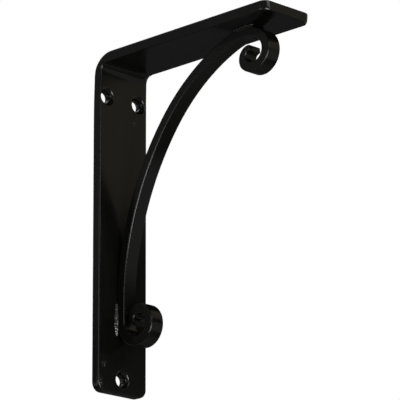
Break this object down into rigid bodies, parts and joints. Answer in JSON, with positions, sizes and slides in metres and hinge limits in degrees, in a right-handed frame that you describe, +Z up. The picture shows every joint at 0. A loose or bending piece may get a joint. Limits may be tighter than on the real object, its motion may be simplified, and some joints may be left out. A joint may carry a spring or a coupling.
{
  "type": "wrought iron shelf bracket",
  "caption": "Flat-bar angle bracket with a bowed, scroll-ended brace welded under its shelf leg and countersunk screw holes in its wall leg.",
  "frame": {"origin": "middle of the wall leg's back face, in the plane of the wall that the bracket is screwed to", "axes": "+Z up along the wall leg, +Y into the wall, +X to the right as one faces the wall; the shelf leg reaches out along -Y"},
  "size_m": [0.05, 0.186, 0.268],
  "materials": {
    "coated_bar": "satin black coat over wrought flat bar",
    "coated_weld": "satin black coat over rippled weld bead"
  },
  "bodies": {
    "root": {"angle_bar": "coated_bar", "scroll_brace": "coated_bar", "weld_upper_left": "coated_weld", "weld_upper_right": "coated_weld", "weld_lower_left": "coated_weld", "weld_lower_right": "coated_weld"}
  },
  "joints": []
}
